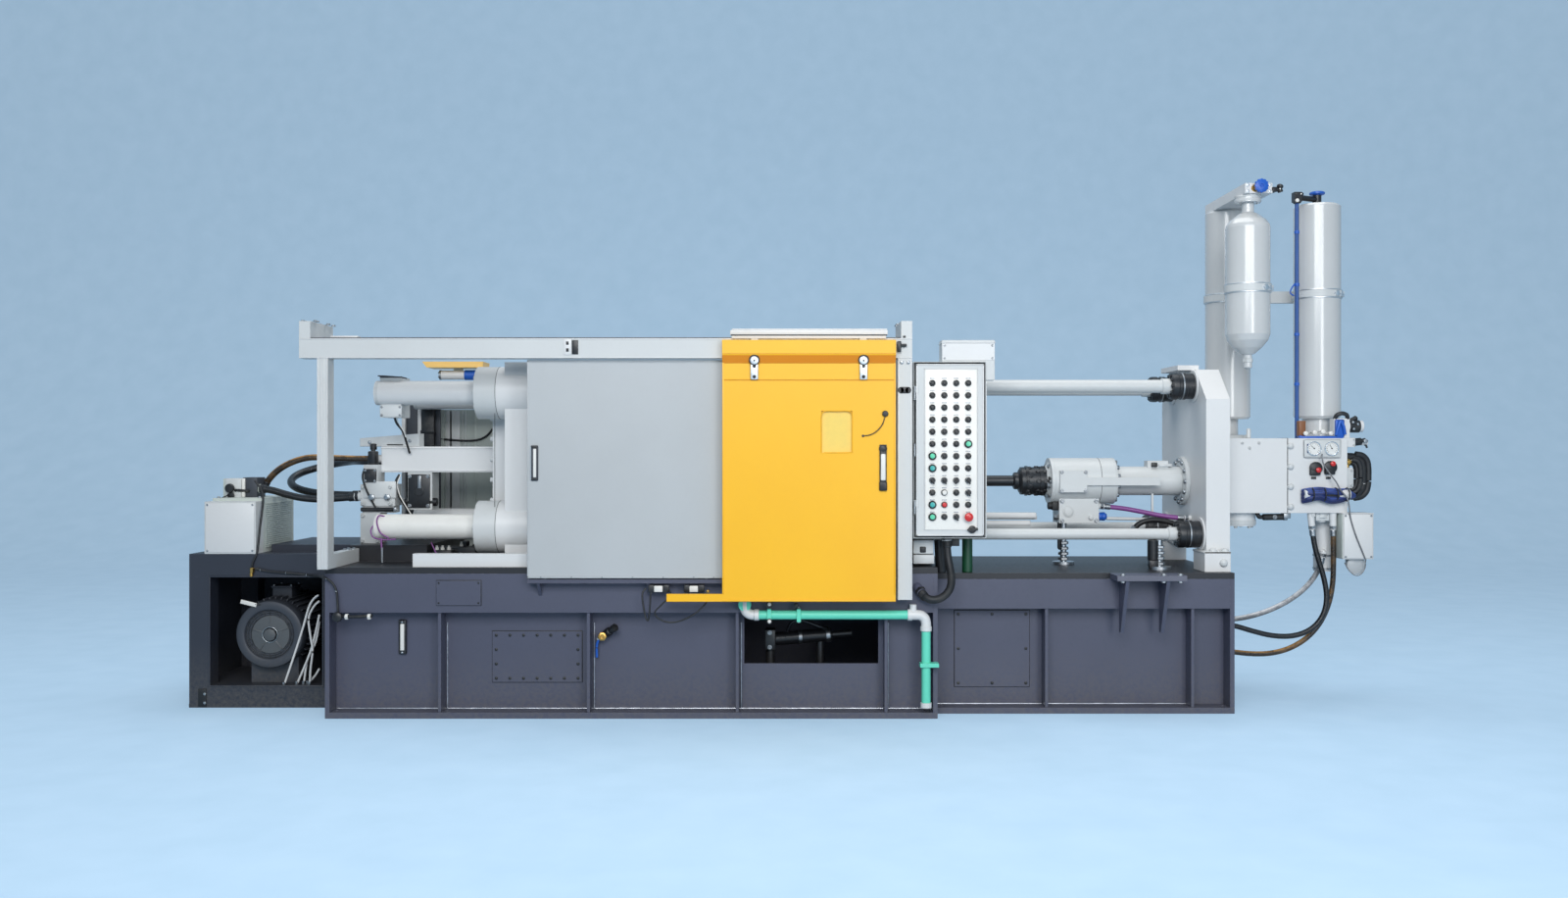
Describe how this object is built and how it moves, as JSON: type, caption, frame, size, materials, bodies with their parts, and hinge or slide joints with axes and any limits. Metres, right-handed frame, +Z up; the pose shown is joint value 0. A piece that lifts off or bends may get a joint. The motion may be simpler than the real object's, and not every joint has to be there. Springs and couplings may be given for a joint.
{
  "type": "cold chamber die casting machine",
  "caption": "Horizontal cold chamber die casting machine with clamp end, sliding guards, control box, shot cylinder and gas bottles on a welded bed.",
  "frame": {"origin": "middle of the bed's underside", "axes": "+Z up, +X along the bed towards the shot end, -Y towards the operator"},
  "size_m": [8.259, 1.916, 3.64],
  "materials": {
    "bed_paint": "blue-grey enamel",
    "pack_paint": "dark enamel",
    "machine_paint": "light grey enamel",
    "guard_paint": "grey enamel",
    "door_paint": "yellow enamel",
    "motor_paint": "grey enamel",
    "steel": "ground steel",
    "black_steel": "blackened steel",
    "black_plastic": "black moulding",
    "water_pipe_paint": "pale green enamel",
    "blue_paint": "blue enamel",
    "hose_rubber": "black rubber",
    "pane": "clear polycarbonate"
  },
  "bodies": {
    "machine": {"bed_base_plate": "bed_paint", "bed_webs": "bed_paint", "bed_walls": "bed_paint", "bed_top_rails": "bed_paint", "bed_deck": "bed_paint", "bed_fittings": "bed_paint", "power_pack_frame": "pack_paint", "water_pipes": "water_pipe_paint", "gas_pipe": "blue_paint", "rear_canopy": "door_paint", "pack_hose_upper": "hose_rubber", "pack_hose_loop": "hose_rubber", "pack_hose_lower": "hose_rubber", "return_hose_pale": "hose_rubber", "return_hose_left": "hose_rubber", "return_hose_right": "hose_rubber", "panel_conduit": "hose_rubber", "charge_hose": "hose_rubber", "switch_box": "machine_paint", "oil_cooler": "machine_paint", "tail_platen": "machine_paint", "moving_platen": "machine_paint", "fixed_platen": "machine_paint", "tie_bar_nuts": "machine_paint", "clamp_cylinder": "machine_paint", "toggle": "machine_paint", "clamp_fittings": "machine_paint", "gantry_beam": "machine_paint", "gantry_legs": "machine_paint", "panel_box": "machine_paint", "deck_pedestals": "machine_paint", "shot_cylinder": "machine_paint", "shot_manifold": "machine_paint", "shot_frame_plate": "machine_paint", "shot_frame_rods": "machine_paint", "drip_tray": "machine_paint", "valve_blocks": "machine_paint", "outer_valves": "machine_paint", "gas_bottles": "machine_paint", "bladder_accumulator": "machine_paint", "bottle_manifold": "machine_paint", "bottle_clamps": "machine_paint", "pump_motor": "motor_paint", "tie_bars": "steel", "shot_sleeve": "steel", "jack_screws": "steel", "rod_nuts": "black_steel", "bottle_valves": "black_steel", "guard_track": "guard_paint", "rear_guard": "guard_paint"},
    "front_door": {"front_door": "door_paint", "front_door_pane": "pane", "front_door_hanger": "machine_paint", "front_door_fittings": "black_plastic"},
    "toggle_guard": {"toggle_guard": "guard_paint", "toggle_guard_fittings": "steel"},
    "panel_door": {"panel_door": "machine_paint", "panel_buttons": "black_plastic"},
    "plunger": {"plunger_rod": "black_steel", "plunger_coupling": "black_steel"}
  },
  "joints": [
    {"name": "front_door_slide", "type": "slide", "parent": "machine", "child": "front_door", "axis": [-1, 0, 0], "range_m": [0, 1]},
    {"name": "toggle_guard_slide", "type": "slide", "parent": "machine", "child": "toggle_guard", "axis": [1, 0, 0], "range_m": [0, 1]},
    {"name": "panel_door_hinge", "type": "hinge", "parent": "machine", "child": "panel_door", "pos_m": [0.855, -0.902, 1.7755], "axis": [0, 0, -1], "range_deg": [0, 95]},
    {"name": "plunger_stroke", "type": "slide", "parent": "machine", "child": "plunger", "axis": [-1, 0, 0], "range_m": [0, 0.45]}
  ]
}
